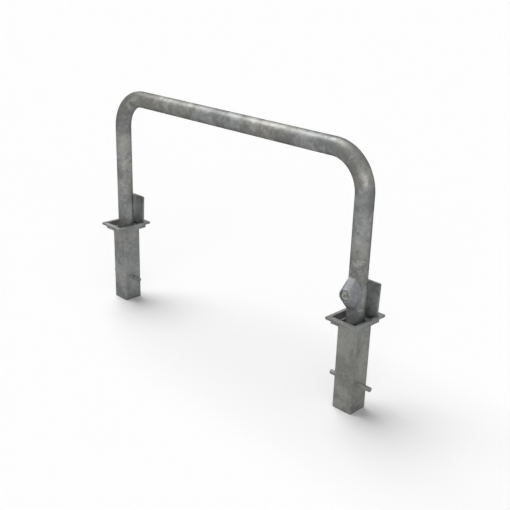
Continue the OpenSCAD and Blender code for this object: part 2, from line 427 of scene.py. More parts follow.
@dataclass(frozen=True)
class Clouds:
    """Cloudy noise: clouds per metre, finer layers, their strength, and how much it is stirred."""

    scale: float
    detail: float = 3
    roughness: float = 0.5
    distortion: float = 0


class NodeSheet:
    """The node tree of a material or of the surroundings, with short ways to add its nodes."""

    def __init__(self, owner: Material | World) -> None:
        """Open the node tree.

        Args:
            owner: What the nodes belong to.
        """
        owner.use_nodes = True
        self.owner = owner
        self.nodes = owner.node_tree.nodes
        self.links = owner.node_tree.links

    def fill(self, socket: NodeSocket, value: Value) -> None:
        """Link a pattern to a socket, or set the socket to a constant.

        Args:
            socket: The socket.
            value: A pattern, number, colour or place.
        """
        if isinstance(value, NodeSocket):
            self.links.new(value, socket)
        elif socket.type == "RGBA":
            socket.default_value = (*value, 1)
        else:
            socket.default_value = value

    def add(self, kind: str, inputs: dict[str, Value]) -> Node:
        """Add a node and fill in its sockets.

        Args:
            kind: Kind of the node.
            inputs: Names and values of the sockets.

        Returns:
            The node.
        """
        node = self.nodes.new(f"ShaderNode{kind}")
        for name, value in inputs.items():
            self.fill(node.inputs[name], value)
        return node

    def feed(self, name: str, value: Value) -> None:
        """Fill in one of the shader's own sockets."""
        self.fill(self.nodes["Principled BSDF"].inputs[name], value)

    def shift(self, offset: Place = (0, 0, 0), scale: Place = (1, 1, 1)) -> NodeSocket:
        """Give Object coordinates that are moved, and made denser along each axis."""
        place = self.add("TexCoord", {}).outputs["Object"]
        return self.add("Mapping", {"Location": offset, "Scale": scale, "Vector": place}).outputs["Vector"]

    def noise(self, clouds: Clouds, place: NodeSocket) -> NodeSocket:
        """Add cloudy noise, mostly from 0.3 to 0.7. Its sockets have the names of the clouds' fields."""
        settings = {name.capitalize(): value for name, value in vars(clouds).items()}
        return self.add("TexNoise", {**settings, "Vector": place}).outputs["Fac"]

    def crystals(self, place: NodeSocket, scale: float) -> NodeSocket:
        """Give a field of flat crystals, so many per metre, each with its own value from 0 to 1."""
        colour = self.add("TexVoronoi", {"Scale": scale, "Vector": place}).outputs["Color"]
        return self.add("SeparateColor", {"Color": colour}).outputs["Red"]

    def spread(self, value: NodeSocket, source: Pair, result: Pair = (0, 1)) -> NodeSocket:
        """Map a range of values to another, smoothly and without overshoot.

        Args:
            value: The values.
            source: Lowest and highest value of the range.
            result: What these two become.

        Returns:
            The mapped values.
        """
        ends = dict(zip(("From Min", "From Max", "To Min", "To Max"), (*source, *result)))
        node = self.add("MapRange", {"Value": value, **ends})
        node.interpolation_type = "SMOOTHSTEP"
        return node.outputs["Result"]

    def calculate(self, maths: Maths, first: NodeSocket, second: NodeSocket | float) -> NodeSocket:
        """Join two values into one.

        Args:
            maths: How they are joined.
            first: First value.
            second: Second value, or a number.

        Returns:
            The result.
        """
        node = self.add("Math", {})
        node.operation = maths.value
        self.fill(node.inputs[0], first)
        self.fill(node.inputs[1], second)
        return node.outputs["Value"]

    def weigh(self, first: NodeSocket, second: NodeSocket, shares: Pair) -> NodeSocket:
        """Add two values in given shares."""
        parts = [self.calculate(Maths.MULTIPLY, *part) for part in zip((first, second), shares)]
        return self.calculate(Maths.ADD, *parts)

    def blend(self, share: Value, first: Value, second: Value, mixing: Mixing = Mixing.PLAIN) -> NodeSocket:
        """Mix two colours.

        Args:
            share: Share of the second colour.
            first: First colour.
            second: Second colour.
            mixing: How the second colour acts on the first.

        Returns:
            The mixed colour.
        """
        node = self.add("Mix", {})
        node.data_type = "RGBA"
        node.blend_type = mixing.value
        for index, value in ((MIX_SHARE, share), (MIX_FIRST, first), (MIX_SECOND, second)):
            self.fill(node.inputs[index], value)
        return node.outputs[MIX_RESULT]

    def grey(self, value: NodeSocket) -> NodeSocket:
        """Turn a value into a grey of that strength."""
        channels = {channel: value for channel in ("Red", "Green", "Blue")}
        return self.add("CombineColor", channels).outputs["Color"]

    def direct_rays(self) -> NodeSocket:
        """Tell rays of the camera, of mirrors and of glass from those that only carry light.

        Returns:
            A value that is 1 for the first kind.
        """
        ray = self.add("LightPath", {}).outputs
        seen = self.calculate(Maths.LARGER, ray["Is Camera Ray"], ray["Is Glossy Ray"])
        return self.calculate(Maths.LARGER, seen, ray["Is Transmission Ray"])

    def bump(self, height: NodeSocket, distance: float, strength: float) -> None:
        """Give the surface small hollows and hills, so many metres high and so strong."""
        hills = self.add("Bump", {"Strength": strength, "Distance": distance, "Height": height})
        self.feed("Normal", hills.outputs["Normal"])


@dataclass(frozen=True)
class ZincDip:
    """Hot-dip zinc: cloudy grey patches, faint crystals, pale bloom and a slightly uneven skin."""

    name: str
    dark: Colour
    light: Colour
    bloom: Colour
    offset: Place
    metallic: float = 0.6
    edge_tint: float = 0.05
    gloss: float = 0.1
    roughness: Pair = (0.36, 0.54)
    warm_tint: Colour = (1.015, 1.0, 0.96)
    cool_tint: Colour = (0.975, 1.0, 1.015)
    stain_offset: Place = (7.2, 1.7, 0.4)
    tint_offset: Place = (7.5, 2.2, 5.9)
    bloom_offset: Place = (3.1, 4.4, 2.8)
    patch_clouds: Clouds = Clouds(8, 4, 0.55, 0.5)
    stain_clouds: Clouds = Clouds(27.2, 6, 0.62, 1.1)
    tint_clouds: Clouds = Clouds(5.5, 2)
    bloom_clouds: Clouds = Clouds(17, 7, 0.68, 0.8)
    grain_clouds: Clouds = Clouds(260, 4, 0.6)
    dent_clouds: Clouds = Clouds(45)
    tone_shares: Pair = (0.6, 0.4)
    tone_range: Pair = (0.415, 0.595)
    tint_range: Pair = (0.38, 0.62)
    bloom_range: Pair = (0.565, 0.66)
    fine_range: Pair = (0.36, 0.64)
    bloom_cover: float = 0.55
    crystal_scale: float = 85
    crystal_share: float = 0.08
    speck_tones: Pair = (0.9, 1.08)
    wear_shares: Pair = (0.7, 0.3)
    skin_height: float = 0.0009
    skin_strength: float = 0.35

    def material(self) -> Material:
        """Build the finish.

        Returns:
            Its material.
        """
        sheet = NodeSheet(bpy.data.materials.new(self.name))
        place = sheet.shift(self.offset)
        stains = sheet.noise(self.stain_clouds, sheet.shift(self.stain_offset))
        grains = sheet.noise(self.grain_clouds, place)
        sheet.feed("Base Color", self.colour(sheet, place, stains, grains))
        sheet.feed("Metallic", self.metallic)
        sheet.feed("Specular Tint", (self.edge_tint, self.edge_tint, self.edge_tint))
        sheet.feed("Specular IOR Level", self.gloss)
        wear = sheet.weigh(stains, grains, self.wear_shares)
        sheet.feed("Roughness", sheet.spread(wear, self.fine_range, self.roughness))
        skin = sheet.weigh(sheet.noise(self.dent_clouds, place), grains, self.wear_shares)
        sheet.bump(skin, self.skin_height, self.skin_strength)
        return sheet.owner

    def colour(
        self, sheet: NodeSheet, place: NodeSocket, stains: NodeSocket, grains: NodeSocket
    ) -> NodeSocket:
        """Lay patches, crystals, a warm or cool tint, pale bloom and fine specks over each other.

        Args:
            sheet: The material's nodes.
            place: Coordinates.
            stains: Noise of the stains.
            grains: Noise of the fine grain.

        Returns:
            The colour.
        """
        cloudy = sheet.weigh(sheet.noise(self.patch_clouds, place), stains, self.tone_shares)
        colour = sheet.blend(sheet.spread(cloudy, self.tone_range), self.dark, self.light)
        crystals = sheet.crystals(place, self.crystal_scale)
        colour = sheet.blend(self.crystal_share, colour, crystals, Mixing.OVERLAY)
        warmth = sheet.noise(self.tint_clouds, sheet.shift(self.tint_offset))
        tint = sheet.blend(sheet.spread(warmth, self.tint_range), self.warm_tint, self.cool_tint)
        colour = sheet.blend(1, colour, tint, Mixing.MULTIPLY)
        bloom = sheet.noise(self.bloom_clouds, sheet.shift(self.bloom_offset))
        cover = sheet.spread(bloom, self.bloom_range, (0, self.bloom_cover))
        colour = sheet.blend(cover, colour, self.bloom)
        specks = sheet.grey(sheet.spread(grains, self.fine_range, self.speck_tones))
        return sheet.blend(1, colour, specks, Mixing.MULTIPLY)


@dataclass(frozen=True)
class TurnedMetal:
    """Plated and turned metal: fine tool marks, small stains and a satin gloss."""

    name: str
    colour: Colour
    stain: Colour
    metallic: float = 0.9
    roughness: Pair = (0.28, 0.48)
    stain_clouds: Clouds = Clouds(60, 5, 0.6, 0.8)
    mark_clouds: Clouds = Clouds(90)
    mark_stretch: Place = (1, 30, 1)
    stain_range: Pair = (0.45, 0.68)
    wear_range: Pair = (0.8, 1.2)
    mark_share: float = 0.6
    mark_height: float = 0.0002
    mark_strength: float = 0.5

    def material(self) -> Material:
        """Build the finish.

        Returns:
            Its material.
        """
        sheet = NodeSheet(bpy.data.materials.new(self.name))
        stains = sheet.noise(self.stain_clouds, sheet.shift())
        marks = sheet.noise(self.mark_clouds, sheet.shift(scale=self.mark_stretch))
        tone = sheet.spread(stains, self.stain_range)
        sheet.feed("Base Color", sheet.blend(tone, self.colour, self.stain))
        wear = sheet.calculate(Maths.ADD, stains, marks)
        sheet.feed("Roughness", sheet.spread(wear, self.wear_range, self.roughness))
        sheet.feed("Metallic", self.metallic)
        height = sheet.calculate(Maths.MULTIPLY, marks, self.mark_share)
        sheet.bump(height, self.mark_height, self.mark_strength)
        return sheet.owner


@dataclass(frozen=True)
class StudioFloor:
    """A matt floor that looks white, and gives back less light than it seems to."""

    name: str = "studio_floor"
    seen: Colour = (0.92, 0.92, 0.92)
    real: Colour = (0.55, 0.55, 0.55)

    def material(self) -> Material:
        """Build the finish.

        Returns:
            Its material.
        """
        sheet = NodeSheet(bpy.data.materials.new(self.name))
        sheet.nodes.remove(sheet.nodes["Principled BSDF"])
        colour = sheet.blend(sheet.direct_rays(), self.real, self.seen)
        matt = sheet.add("BsdfDiffuse", {"Color": colour})
        sheet.fill(sheet.nodes["Material Output"].inputs["Surface"], matt.outputs["BSDF"])
        return sheet.owner


SLOT_FINISHES = {
    Slot.HOOP: ZincDip(
        "hoop_zinc",
        dark=(0.19, 0.191, 0.187),
        light=(0.312, 0.313, 0.306),
        bloom=(0.41, 0.412, 0.404),
        offset=(4.1, 0.2, 2.2),
    ),
    Slot.SOCKET: ZincDip(
        "socket_zinc",
        dark=(0.226, 0.229, 0.225),
        light=(0.318, 0.322, 0.317),
        bloom=(0.385, 0.39, 0.385),
        offset=(2.4, 0.6, 1.1),
        metallic=0.45,
        roughness=(0.44, 0.62),
    ),
    Slot.LID: ZincDip(
        "lid_zinc",
        dark=(0.2, 0.202, 0.197),
        light=(0.315, 0.32, 0.314),
        bloom=(0.4, 0.404, 0.398),
        offset=(5.2, 3.1, 0.2),
        roughness=(0.45, 0.65),
    ),
    Slot.FIXING: TurnedMetal("zinc_plate", colour=(0.42, 0.42, 0.4), stain=(0.26, 0.26, 0.25)),
    Slot.LOCK: TurnedMetal(
        "nickel_plate",
        colour=(0.45, 0.45, 0.42),
        stain=(0.25, 0.25, 0.23),
        metallic=0.7,
        roughness=(0.3, 0.5),
    ),
}
CASTING_FINISH = ZincDip(
    "cast_zinc",
    dark=(0.215, 0.217, 0.222),
    light=(0.3, 0.302, 0.31),
    bloom=(0.38, 0.383, 0.392),
    offset=(1.6, 2.9, 0.8),
    roughness=(0.46, 0.6),
    warm_tint=(1.0, 1.0, 0.99),
    cool_tint=(0.97, 0.99, 1.03),
)
# The plug's nickel is coloured darker than the barrel's: painted shade for the dark centre of the lock.
PLUG_PAINTED_SHADE = TurnedMetal(
    "nickel_painted_shade",
    colour=(0.3, 0.3, 0.275),
    stain=(0.16, 0.16, 0.145),
    metallic=0.6,
    roughness=(0.4, 0.6),
)


class Finishes:
    """The barrier's materials: one for each slot of the record, and two for single pieces."""

    def __init__(self) -> None:
        """Build each material once."""
        self.by_slot = {slot: finish.material() for slot, finish in SLOT_FINISHES.items()}
        self.casting = CASTING_FINISH.material()
        # The plug's own finish is darker nickel, painted shade for the lock's dark centre.
        self.plug = PLUG_PAINTED_SHADE.material()

    def dress(self, piece: Object, slot: Slot, finish: Material | None = None) -> None:
        """Give a piece its finish.

        Args:
            piece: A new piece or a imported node.
            slot: The slot that it takes its finish from.
            finish: A finish of its own, instead of the slot's.
        """
        material = finish or self.by_slot[slot]
        if not piece.material_slots:
            piece.data.materials.append(material)
        for spot in piece.material_slots:
            spot.material = material


# The barrier's sub-assemblies


@dataclass
class SubAssembly(ABC):
    """Pieces that are modelled, dressed and fixed to their bodies together."""

    finishes: Finishes

    @abstractmethod
    def build(self) -> None:
        """Make every piece of the sub-assembly."""

    def hand_over(
        self, piece: Object, body: str, slot: Slot, node: str = "", finish: Material | None = None
    ) -> None:
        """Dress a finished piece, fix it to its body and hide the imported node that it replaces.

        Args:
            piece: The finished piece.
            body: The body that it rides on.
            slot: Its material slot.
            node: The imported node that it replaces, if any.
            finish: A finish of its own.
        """
        self.finishes.dress(piece, slot, finish)
        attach(piece, body)
        if node:
            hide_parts(node)
        log.info("%s: %d faces on %s", piece.name, len(piece.data.polygons), body)

    def polish(self, *nodes: str) -> None:
        """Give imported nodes, which keep their shapes, the finish of fixings.

        Args:
            nodes: Names of the nodes.
        """
        for node in nodes:
            self.finishes.dress(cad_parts[node], Slot.FIXING)
            log.info("%s: packed node", node)


@dataclass
class HoopTube(SubAssembly):
    """The bent tube: two legs, two bends and the top rail."""

    wall: float = 0.0036
    foot_z: float = 0.1313
    foot_round: float = 0.0007
    rail_z: float = 1.06
    bend: float = 0.158
    window_radius: float = 0.016
    cut_stop: float = 0.02
    pivot_z: float = 0.455
    pivot_radius: float = 0.0041
    sides: int = 96
    bend_steps: int = 40
    same_reach: float = 0.0001

    def build(self) -> None:
        """Bend the tube, give it its wall, and cut the lock's holes."""
        put_down()
        foot = (-LEG_X, 0, self.foot_z)
        bpy.ops.mesh.primitive_circle_add(vertices=self.sides, radius=TUBE_RADIUS, location=foot)
        tube = settle(bpy.context.object, "hoop")
        open_up(tube)
        self.bend_up()
        apply_step(tube, "SOLIDIFY", thickness=self.wall, offset=-1, use_even_offset=True)
        round_corners(tube, self.foot_round, self.is_rim, segments=3)
        self.drill(tube)
        smooth(tube)
        self.hand_over(tube, "hoop", Slot.HOOP, "hoop_tube")

    def bend_up(self) -> None:
        """Draw the left foot's circle up, over and down to the right foot, in edit mode."""
        bend_z = self.rail_z - self.bend
        bend_x = LEG_X - self.bend
        self.draw_out((0, 0, bend_z - self.foot_z))
        self.turn(-bend_x, bend_z)
        self.draw_out((2 * bend_x, 0, 0))
        self.turn(bend_x, bend_z)
        self.draw_out((0, 0, self.foot_z - bend_z))
        bpy.ops.mesh.select_all(action="SELECT")
        bpy.ops.mesh.remove_doubles(threshold=HAIR)
        bpy.ops.mesh.normals_make_consistent(inside=False)
        put_down()

    def draw_out(self, way: Place) -> None:
        """Extrude the tube's open end straight on, in edit mode."""
        bpy.ops.mesh.extrude_region_move(TRANSFORM_OT_translate={"value": way})

    def turn(self, x: float, z: float) -> None:
        """Spin the tube's open end through a quarter turn round a bend's centre, in edit mode."""
        quarter = radians(-90)
        bpy.ops.mesh.spin(steps=self.bend_steps, angle=quarter, center=(x, 0, z), axis=(0, 1, 0))

    def is_rim(self, first: Vector, second: Vector) -> bool:
        """Say whether an edge goes round a leg's open foot."""
        near, far = sorted(hypot(abs(end.x) - LEG_X, end.y) for end in (first, second))
        return max(first.z, second.z) < self.foot_z + HAIR and far - near < self.same_reach

    def drill(self, tube: Object) -> None:
        """Cut the lock's window, the pivot's holes and the hook's slot.

        Args:
            tube: The tube.
        """
        front = -TUBE_RADIUS - OVERCUT
        window = [(LEG_X, y, LOCK_Z) for y in (front, -self.cut_stop)]
        pivot = [(LEG_X, y, self.pivot_z) for y in (front, -front)]
        combine(
            tube,
            Joining.CUT,
            rod("window", self.window_radius, *window),
            rod("pivot_holes", self.pivot_radius, *pivot, sides=32),
            hook_slot(LEG_X - TUBE_RADIUS - OVERCUT, LEG_X - self.cut_stop),
        )


@dataclass
class LockHousing(SubAssembly):
    """The shield-shaped casting that holds the lock on the front of the right leg."""

    nose_y: float = -0.07905
    nose_radius: float = 0.028
    edge: float = 0.004
    tip_half: float = 0.015
    tip_rise: float = 0.063
    tip_drop: float = 0.068
    tip_radius: float = 0.001
    base_half: float = 0.0355
    base_rise: float = 0.079
    base_y: float = -0.013
    oval: float = 0.85
    wall: float = 0.005
    cavity_edge: float = 0.002
    recess_radius: float = 0.022
    recess_depth: float = 0.008
    barrel_radius: float = 0.0131
    leg_reach: float = 0.1
    sunk: float = 0.0015
    grain: float = 0.0008
    skin_smoothing: float = 0.5
    skin_rounds: int = 4
    weld: WeldBead = WeldBead("housing_weld", 0.0021, 11)
    seam_points: int = 120
    seam_halvings: int = 24
    seam_turn: float = 100
    seam_rise: float = 0.11

    def build(self) -> None:
        """Cast the housing and weld it on."""
        housing = self.shell("housing", 0, self.edge)
        weld = self.weld.lay(self.seam(housing))
        floor_y = self.nose_y + self.recess_depth + self.wall
        cavity = self.shell("cavity", self.wall, self.cavity_edge)
        boss = lock_rod("boss", self.recess_radius + self.wall, self.nose_y, floor_y)
        combine(cavity, Joining.CUT, boss)
        out = self.nose_y - OVERCUT
        ends = [(LEG_X, 0, LOCK_Z + rise) for rise in (-self.leg_reach, self.leg_reach)]
        combine(
            housing,
            Joining.CUT,
            cavity,
            lock_rod("recess", self.recess_radius, out, self.nose_y + self.recess_depth),
            lock_rod("barrel_hole", self.barrel_radius, out, OVERCUT - TUBE_RADIUS),
            rod("leg", TUBE_RADIUS - self.sunk, *ends, sides=128),
        )
        apply_step(housing, "REMESH", mode="VOXEL", voxel_size=self.grain, use_smooth_shade=True)
        apply_step(housing, "SMOOTH", factor=self.skin_smoothing, iterations=self.skin_rounds)
        self.hand_over(housing, "hoop", Slot.HOOP, "lock_housing", self.finishes.casting)
        self.hand_over(weld, "hoop", Slot.HOOP)

    def shell(self, name: str, inset: float, edge: float) -> Object:
        """Stretch a skin over the nose, the tips and the base.

        Args:
            name: Name of the solid.
            inset: How far its faces lie inside the housing's outside.
            edge: Radius of its nose's edges.

        Returns:
            The closed solid.
        """
        level = (pi / 2, 0, 0)
        put_down()
        bpy.ops.mesh.primitive_torus_add(
            major_segments=128,
            minor_segments=32,
            major_radius=self.nose_radius - inset - edge,
            minor_radius=edge,
            location=(LEG_X, self.nose_y + inset + edge, LOCK_Z),
            rotation=level,
        )
        parts = [bpy.context.object]
        for side in (-1, 1):
            for rise in (inset - self.tip_drop, self.tip_rise - inset):
                tip = (LEG_X + side * (self.tip_half - inset), inset - TUBE_RADIUS, LOCK_Z + rise)
                put_down()
                bpy.ops.mesh.primitive_uv_sphere_add(
                    segments=32, ring_count=24, radius=self.tip_radius, location=tip
                )
                parts.append(bpy.context.object)
        put_down()
        middle = (LEG_X, self.base_y, LOCK_Z)
        bpy.ops.mesh.primitive_circle_add(vertices=96, radius=1, location=middle, rotation=level)
        base = settle(bpy.context.object, name)
        self.shape_oval(base, inset)
        for part in parts:
            part.select_set(True)
        bpy.ops.object.join()
        open_up(base)
        bpy.ops.mesh.convex_hull()
        bpy.ops.mesh.remove_doubles(threshold=HAIR)
        return settle(base, name)

    def shape_oval(self, base: Object, inset: float) -> None:
        """Draw the base's circle out to the housing's full oval.

        Args:
            base: The circle, one metre in radius.
            inset: How far the oval lies inside the housing's outside.
        """
        for vertex in base.data.vertices:
            across, rise = vertex.co.x - LEG_X, vertex.co.z - LOCK_Z
            vertex.co.x = LEG_X + copysign(abs(across) ** self.oval, across) * (self.base_half - inset)
            vertex.co.z = LOCK_Z + copysign(abs(rise) ** self.oval, rise) * (self.base_rise - inset)

    def seam(self, solid: Object) -> list[Vector]:
        """Trace where the housing's skin meets the tube.

        Args:
            solid: The housing's closed, convex outside.

        Returns:
            Points of the closed line.
        """
        faces = [(face.center.copy(), face.normal.copy()) for face in solid.data.polygons]
        points = []
        for step in range(self.seam_points):
            angle = 2 * pi * step / self.seam_points
            near, far = 0.0, 1.0
            for _ in range(self.seam_halvings):
                share = (near + far) / 2
                turn = share * cos(angle) * radians(self.seam_turn)
                rise = share * sin(angle) * self.seam_rise
                x, y = LEG_X + TUBE_RADIUS * sin(turn), -TUBE_RADIUS * cos(turn)
                place = Vector((x, y, LOCK_Z + rise))
                inside = all((place - centre).dot(normal) < 0 for centre, normal in faces)
                near, far = (share, far) if inside else (near, share)
            points.append(place)
        return points


@dataclass
class LockCylinder(SubAssembly):
    """What shows of the lock in the housing's recess: the barrel's face and the plug with its key slot."""

    barrel_face: float = -0.07855
    plug_face: float = -0.0788
    flange_y: float = -0.07355
    recess_y: float = -0.07105
    barrel_end: float = -0.03095
    barrel_ease: float = 0.0004
    plug_end: float = -0.03065
    plug_ease: float = 0.0003
    tail_end: float = -0.02565
    tail_half: float = 0.003
    tail_sunk: float = 0.001
    barrel_radius: float = 0.013
    flange_radius: float = 0.017
    bore_radius: float = 0.00905
    head_radius: float = 0.0105
    head_depth: float = 0.003
    head_gap: float = 0.0003
    plug_radius: float = 0.009
    unlocked: float = 45
    key_half: Pair = (0.0015, 0.0055)
    key_depth: float = 0.014
    ward: float = 0.0012
    ward_depth: float = 0.011
    mouth_radius: float = 0.0052
    mouth_depth: float = 0.0022
    screw_radius: float = 0.0021
    screw_depth: float = 0.0123

    def build(self) -> None:
        """Make the barrel and the plug."""
        self.turn_barrel()
        self.turn_plug()

    def turn_barrel(self) -> None:
        """Turn the barrel, its flange and the stepped bore."""
        barrel = lock_rod("barrel", self.barrel_radius, self.barrel_face, self.barrel_end)
        flange = lock_rod("flange", self.flange_radius, self.flange_y, self.recess_y)
        combine(barrel, Joining.ADD, flange)
        front = self.barrel_face - OVERCUT
        step_y = self.plug_face + self.head_depth + self.head_gap
        bore = lock_rod("bore", self.bore_radius, front, self.barrel_end + OVERCUT)
        counterbore = lock_rod("counterbore", self.head_radius + self.head_gap, front, step_y)
        combine(barrel, Joining.CUT, bore, counterbore)
        ease_edges(barrel, self.barrel_ease)
        self.hand_over(barrel, "hoop", Slot.LOCK, "lock_barrel")

    def turn_plug(self) -> None:
        """Turn the plug and cut its key slot, in the unlocked place."""
        face, end, tail = self.plug_face, self.plug_end, self.tail_half
        plug = lock_rod("plug", self.plug_radius, face, end)
        combine(plug, Joining.ADD, lock_rod("head", self.head_radius, face, face + self.head_depth))
        square = self.tilted("tail", (-tail, end - self.tail_sunk, -tail), (tail, self.tail_end, tail))
        combine(plug, Joining.ADD, square)
        wide, high = self.key_half
        ward = self.ward
        front = face - OVERCUT
        screw = (self.tail_end - self.screw_depth, self.tail_end + OVERCUT)
        combine(
            plug,
            Joining.CUT,
            self.tilted("key_slot", (-wide, front, -high), (wide, face + self.key_depth, high)),
            self.tilted("key_ward", (-wide - ward, front, -ward), (wide, face + self.ward_depth, ward)),
            lock_rod("key_mouth", self.mouth_radius, front, face + self.mouth_depth),
            lock_rod("screw_hole", self.screw_radius, *screw),
        )
        ease_edges(plug, self.plug_ease, segments=2)
        # The plug takes the darker nickel, which is painted shade for the lock's dark centre.
        self.hand_over(plug, "lock_plug", Slot.LOCK, "lock_plug", self.finishes.plug)

    def tilted(self, name: str, low: Place, high: Place) -> Object:
        """Add a block that is given round the lock's axis and turned to the unlocked place.

        Args:
            name: Name of the block.
            low: Its lowest corner, with x and z from the lock's axis.
            high: Its highest corner.

        Returns:
            The block.
        """
        piece = block(name, low, high)
        piece.rotation_euler = (0, radians(self.unlocked), 0)
        piece.location = (LEG_X, 0, LOCK_Z)
        return settle(piece, name)


@dataclass
class Mechanism(SubAssembly):
    """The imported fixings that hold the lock, and the bar that it turns."""

    def build(self) -> None:
        """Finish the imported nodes."""
        self.polish("lock_washer", "lock_nut", "lock_cam", "cam_screw")
        self.polish("locking_bar", "bar_pivot", "pivot_spacers")


@dataclass
class GroundSocket(SubAssembly):
    """One socket: square tube, recess tray, top plate, anchor bar and their welds."""

    side: Side
    wall: float = 0.005
    corner: float = 0.004
    bore_corner: float = 0.001
    tube_ease: float = 0.0006
    anchor_radius: float = 0.010
    anchor_z: float = 0.121
    anchor_gap: float = 0.0001
    anchor_ease: float = 0.0009
    hole_reach: float = 0.1875
    tray_corner: float = 0.0015
    tray_floor: float = 0.005
    tray_ease: float = 0.0007
    plate_corner: float = 0.0015
    plate_ease: float = 0.0006
    opening_half: float = 0.0585
    opening_front: float = -0.075
    opening_back: float = 0.07033
    pin_end: float = 0.0668
    weld_seed: int = 20
    weld_sunk: float = 0.0005
    tube_bead: float = 0.0024
    tray_bead: float = 0.0018
    anchor_bead: float = 0.0019
    anchor_bead_gap: float = 0.0004

    def build(self) -> None:
        """Make the socket's pieces and fix them to the sockets' body."""
        self.make_tube()
        self.make_tray()
        self.make_plate()
        self.make_anchor()
        self.lay_welds()
        self.polish(self.side.named("hinge_pin"))

    def make_tube(self) -> None:
        """Model the square tube with the anchor bar's holes and, under the lock, the hook's slot."""
        low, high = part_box(self.side.named("socket_tube"))
        tube = block(self.side.named("box_section"), low, high)
        round_corners(tube, self.corner, upright)
        inner = Vector((self.wall, self.wall, 0))
        over = Vector((0, 0, OVERCUT))
        bore = block("bore", low + inner - over, high - inner + over)
        round_corners(bore, self.bore_corner, upright, segments=3)
        reach = Vector((self.hole_reach, 0, 0))
        axis = Vector((self.side.x, 0, self.anchor_z))
        holes = rod("anchor_holes", self.anchor_radius + self.anchor_gap, axis - reach, axis + reach)
        combine(tube, Joining.CUT, bore, holes)
        if self.side is Side.RIGHT:
            combine(tube, Joining.CUT, hook_slot(low.x - OVERCUT, low.x + 2 * self.wall))
        ease_edges(tube, self.tube_ease, segments=2)
        self.hand_over(tube, "sockets", Slot.SOCKET, self.side.named("socket_tube"))

    def make_tray(self) -> None:
        """Model the shallow tray with the leg's square hole in its floor."""
        low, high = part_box(self.side.named("recess_tray"))
        tube_low, tube_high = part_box(self.side.named("socket_tube"))
        tray = block(self.side.named("tray"), low, high)
        round_corners(tray, self.tray_corner, upright, segments=4)
        over = Vector((0, 0, OVERCUT))
        inner = Vector((self.wall, self.wall, 0))
        hollow = block("hollow", low + inner + Vector((0, 0, self.tray_floor)), high - inner + over)
        hole_low = Vector((tube_low.x, tube_low.y, low.z)) + inner - over
        hole_high = Vector((tube_high.x, tube_high.y, high.z)) - inner + over
        combine(tray, Joining.CUT, hollow, block("leg_hole", hole_low, hole_high))
        ease_edges(tray, self.tray_ease)
        self.hand_over(tray, "sockets", Slot.SOCKET, self.side.named("recess_tray"))

    def make_plate(self) -> None:
        """Model the frame at ground level, with the lid's opening and its pin hole."""
        low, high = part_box(self.side.named("top_plate"))
        plate = block(self.side.named("plate"), low, high)
        round_corners(plate, self.plate_corner, upright)
        opening = block(
            "opening",
            (self.side.x - self.opening_half, self.opening_front, low.z - OVERCUT),
            (self.side.x + self.opening_half, self.opening_back, high.z + OVERCUT),
        )
        ends = [(x, HINGE_Y, HINGE_Z) for x in (low.x - OVERCUT, self.side.x + self.pin_end)]
        combine(plate, Joining.CUT, opening, rod("pin_hole", PIN_HOLE_RADIUS, *ends, sides=32))
        ease_edges(plate, self.plate_ease)
        self.hand_over(plate, "sockets", Slot.SOCKET, self.side.named("top_plate"))

    def make_anchor(self) -> None:
        """Model the cropped round bar that holds the socket in its concrete."""
        low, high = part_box(self.side.named("anchor_bar"))
        ends = [(x, 0, self.anchor_z) for x in (low.x, high.x)]
        bar = rod(self.side.named("anchor"), self.anchor_radius, *ends)
        ease_edges(bar, self.anchor_ease)
        self.hand_over(bar, "sockets", Slot.SOCKET, self.side.named("anchor_bar"))

    def lay_welds(self) -> None:
        """Lay the beads under the tray, under the plate and round the anchor bar."""
        tube_low, tube_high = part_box(self.side.named("socket_tube"))
        tray_low, tray_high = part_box(self.side.named("recess_tray"))
        tube_top = (self.side.x, 0, tube_high.z - self.weld_sunk)
        tray_top = (self.side.x, 0, tray_high.z - self.weld_sunk)
        tube_size = tube_high.x - tube_low.x
        round_tube = rectangle(tube_top, tube_size, tube_size, self.corner)
        tray_size = (tray_high.x - tray_low.x, tray_high.y - tray_low.y)
        round_tray = rectangle(tray_top, *tray_size, self.tray_corner)
        reach = self.anchor_radius + self.anchor_bead_gap
        near, far = (ring((x, 0, self.anchor_z), reach) for x in (tube_low.x, tube_high.x))
        seed = self.weld_seed + self.side.value
        for word, radius, seed_step, path in (
            ("tube_weld", self.tube_bead, 0, round_tube),
            ("tray_weld", self.tray_bead, 10, round_tray),
            ("near_weld", self.anchor_bead, 20, near),
            ("far_weld", self.anchor_bead, 20, far),
        ):
            bead = WeldBead(self.side.named(word), radius, seed + seed_step).lay(path)
            self.hand_over(bead, "sockets", Slot.SOCKET)


@dataclass
class Lid(SubAssembly):
    """The thick hinged lid of one socket, standing open behind the leg."""

    side: Side
    half_width: float = 0.058
    length: float = 0.1395
    thickness: float = 0.0097
    corner: float = 0.005
    ease: float = 0.0007
    lean: float = 2.0

    def build(self) -> None:
        """Model the lid lying shut round its pin, then swing it open."""
        half = self.thickness / 2
        lid = block("lid", (-self.half_width, -self.length, -half), (self.half_width, 0, half))
        round_corners(lid, self.corner, self.is_free_corner)
        knuckle = rod("knuckle", half, (-self.half_width, 0, 0), (self.half_width, 0, 0))
        combine(lid, Joining.ADD, knuckle)
        reach = self.half_width + OVERCUT
        pin_hole = rod("pin_hole", PIN_HOLE_RADIUS, (-reach, 0, 0), (reach, 0, 0), sides=32)
        combine(lid, Joining.CUT, pin_hole)
        ease_edges(lid, self.ease)
        lid.rotation_euler = (radians(-90 - self.lean), 0, 0)
        lid.location = (self.side.x, HINGE_Y, HINGE_Z)
        settle(lid, self.side.named("flap"))
        node = self.side.named("lid")
        self.hand_over(lid, node, Slot.LID, node)

    def is_free_corner(self, first: Vector, second: Vector) -> bool:
        """Say whether an edge is one of the shut lid's corners away from the pin."""
        return upright(first, second) and first.y < -self.length / 2


